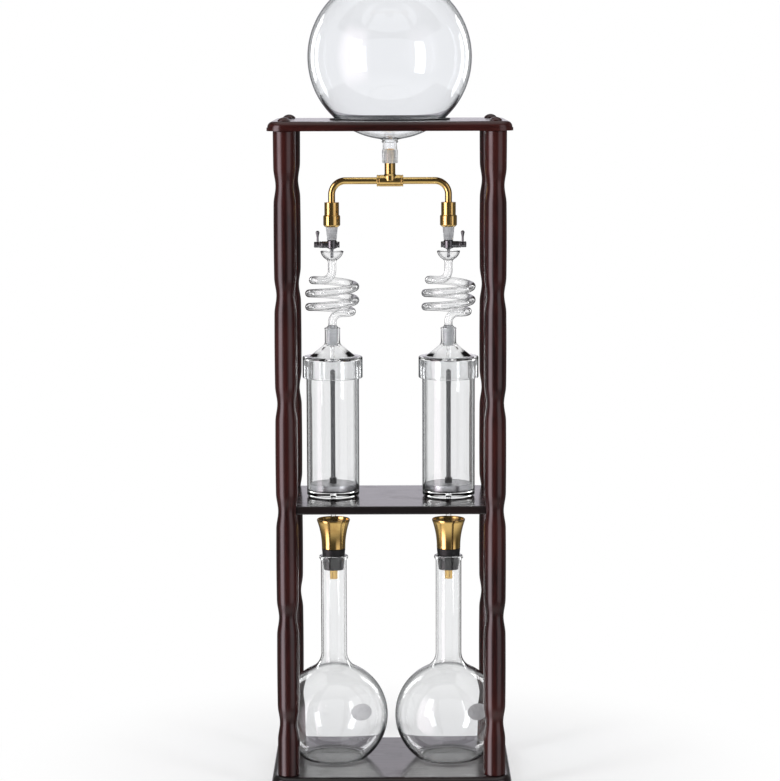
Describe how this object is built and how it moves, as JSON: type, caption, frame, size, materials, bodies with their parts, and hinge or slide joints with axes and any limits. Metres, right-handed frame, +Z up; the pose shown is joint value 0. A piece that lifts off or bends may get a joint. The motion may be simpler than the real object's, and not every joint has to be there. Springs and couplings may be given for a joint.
{
  "type": "cold drip coffee tower",
  "caption": "Tall wooden cold drip coffee stand: a water globe feeds drip valves, glass spirals, coffee columns and round flasks.",
  "frame": {"origin": "on the table, under the middle of the stand, at the underside of the rubber pads", "axes": "+Z up along the stand, +X to the right and -Y towards the viewer, who faces both columns side by side"},
  "size_m": [0.308, 0.214, 1.067],
  "materials": {
    "mahogany": "gloss lacquer over dark red-brown hardwood",
    "dark_wood": "near-black gloss lacquer",
    "clear_glass": "clear borosilicate glass",
    "frosted_glass": "ground, frosted glass",
    "brass": "polished",
    "valve_metal": "polished dark chrome",
    "steel": "brushed stainless steel",
    "rubber": "black silicone rubber"
  },
  "bodies": {
    "frame": {"base_board": "dark_wood", "base_pads": "rubber", "post_front_left": "mahogany", "post_front_right": "mahogany", "post_back_left": "mahogany", "post_back_right": "mahogany", "middle_shelf": "dark_wood", "shelf_dowels": "steel", "top_board": "mahogany", "tie_rods": "steel", "rod_washers": "steel", "rod_nuts_top": "steel", "rod_nuts_bottom": "steel", "post_buttons": "mahogany", "globe_seat_ring": "rubber", "column_cap_left": "clear_glass", "column_cap_right": "clear_glass", "coffee_column_left": "clear_glass", "coffee_column_right": "clear_glass", "filter_pan_left": "steel", "filter_pan_right": "steel", "filter_mesh_left": "steel", "filter_mesh_right": "steel", "filter_hub_left": "steel", "filter_hub_right": "steel", "filter_rod_left": "steel", "filter_rod_right": "steel"},
    "globe": {"water_globe": "clear_glass", "manifold_tee": "brass", "manifold_arm_left": "brass", "manifold_arm_right": "brass", "arm_sleeve_left": "brass", "arm_sleeve_right": "brass", "valve_cone_left": "frosted_glass", "valve_cone_right": "frosted_glass", "valve_body_left": "valve_metal", "valve_body_right": "valve_metal"},
    "lid": {"globe_lid": "clear_glass"},
    "valve_left": {"valve_key_left": "valve_metal", "valve_lever_left": "valve_metal", "valve_nut_left": "valve_metal"},
    "spiral_left": {"drip_spiral_left": "clear_glass"},
    "flask_left": {"flask_left": "clear_glass"},
    "funnel_left": {"funnel_left": "brass", "flask_stopper_left": "rubber"},
    "valve_right": {"valve_key_right": "valve_metal", "valve_lever_right": "valve_metal", "valve_nut_right": "valve_metal"},
    "spiral_right": {"drip_spiral_right": "clear_glass"},
    "flask_right": {"flask_right": "clear_glass"},
    "funnel_right": {"funnel_right": "brass", "flask_stopper_right": "rubber"}
  },
  "joints": [
    {"name": "globe_lift", "type": "slide", "parent": "frame", "child": "globe", "axis": [0, 0, 1], "range_m": [0, 0.055]},
    {"name": "lid_lift", "type": "slide", "parent": "globe", "child": "lid", "axis": [0, 0, 1], "range_m": [0, 0.12]},
    {"name": "valve_left_turn", "type": "hinge", "parent": "globe", "child": "valve_left", "pos_m": [-0.075, 0, 0.69575], "axis": [-1, 0, 0], "range_deg": [-90, 90]},
    {"name": "spiral_left_swivel", "type": "hinge", "parent": "frame", "child": "spiral_left", "pos_m": [-0.075, 0, 0.58854], "axis": [0, 0, 1], "continuous": true},
    {"name": "flask_left_slide", "type": "slide", "parent": "frame", "child": "flask_left", "axis": [-1, 0, 0], "range_m": [0, 0.2]},
    {"name": "funnel_left_lift", "type": "slide", "parent": "flask_left", "child": "funnel_left", "axis": [0, 0, 1], "range_m": [0, 0.018]},
    {"name": "valve_right_turn", "type": "hinge", "parent": "globe", "child": "valve_right", "pos_m": [0.075, 0, 0.69575], "axis": [1, 0, 0], "range_deg": [-90, 90]},
    {"name": "spiral_right_swivel", "type": "hinge", "parent": "frame", "child": "spiral_right", "pos_m": [0.075, 0, 0.58854], "axis": [0, 0, 1], "continuous": true},
    {"name": "flask_right_slide", "type": "slide", "parent": "frame", "child": "flask_right", "axis": [1, 0, 0], "range_m": [0, 0.2]},
    {"name": "funnel_right_lift", "type": "slide", "parent": "flask_right", "child": "funnel_right", "axis": [0, 0, 1], "range_m": [0, 0.018]}
  ]
}
